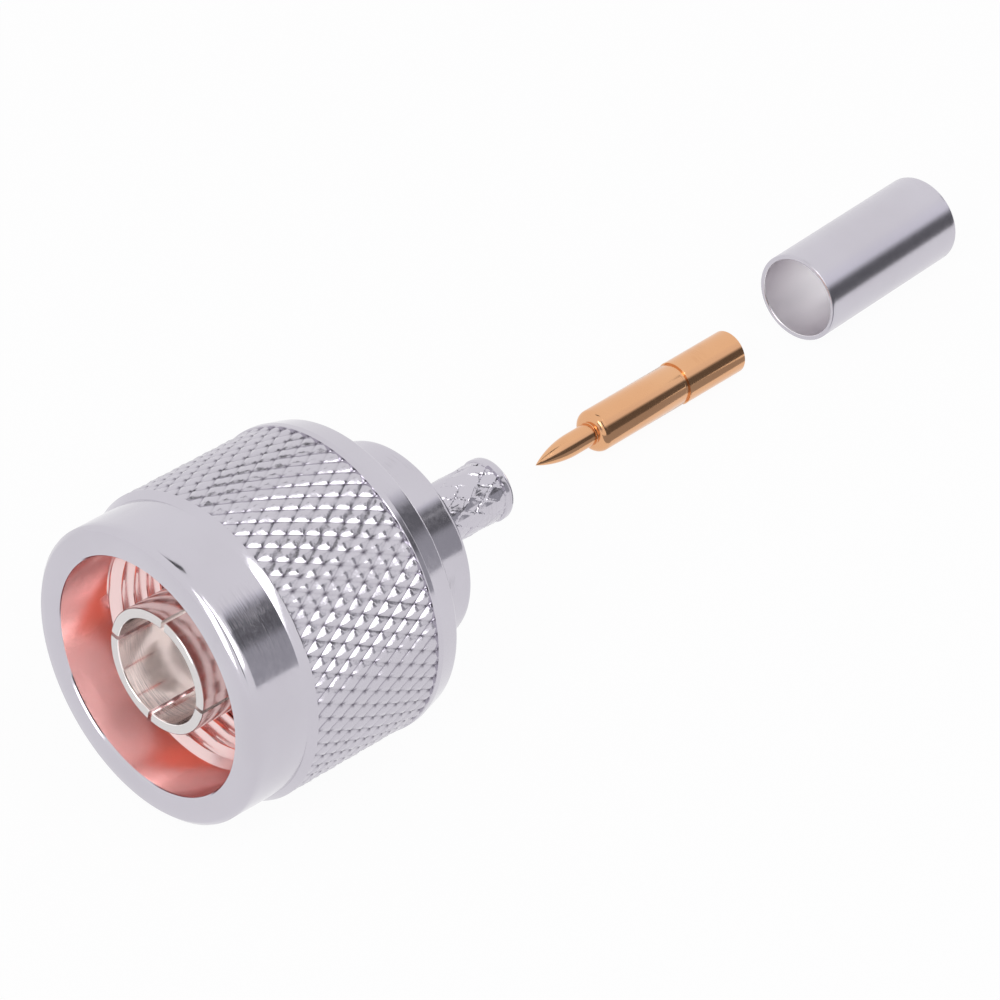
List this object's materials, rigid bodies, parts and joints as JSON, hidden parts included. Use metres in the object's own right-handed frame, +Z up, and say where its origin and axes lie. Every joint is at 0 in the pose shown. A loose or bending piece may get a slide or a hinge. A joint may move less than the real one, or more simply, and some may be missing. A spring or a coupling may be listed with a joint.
{
  "type": "n type coaxial connector",
  "caption": "Coaxial crimp plug with a knurled coupling nut and slotted outer contact, with its centre pin and crimp ferrule laid beside it.",
  "frame": {"origin": "on the plug's axis, in the plane of the outer contact's front edge", "axes": "+Y along the plug's axis from the mating end towards the cable, +Z up from the surface that the pieces lie on"},
  "size_m": [0.0241, 0.0828, 0.0208],
  "materials": {
    "nut_plating": "polished silver-coloured plating, diamond knurl",
    "body_plating": "polished silver-coloured plating",
    "contact_plating": "polished silver-coloured plating",
    "ptfe": "satin",
    "silicone": "satin silicone rubber",
    "ring_plating": "satin silver-coloured plating",
    "pin_gold": "polished gold plating",
    "ferrule_plating": "polished silver-coloured plating"
  },
  "bodies": {
    "connector": {"connector_body": "body_plating", "outer_contact": "contact_plating", "insulator": "ptfe", "gasket": "silicone", "contact_pin": "pin_gold", "crimp_ferrule": "ferrule_plating"},
    "snap_ring": {"snap_ring": "ring_plating"},
    "coupling_nut": {"coupling_nut": "nut_plating"}
  },
  "joints": [
    {"name": "nut_float", "type": "slide", "parent": "connector", "child": "snap_ring", "axis": [0, -1, 0], "range_m": [0, 0.0004]},
    {"name": "nut_spin", "type": "hinge", "parent": "snap_ring", "child": "coupling_nut", "pos_m": [0, 0.01178, 0], "axis": [0, 1, 0], "continuous": true}
  ]
}
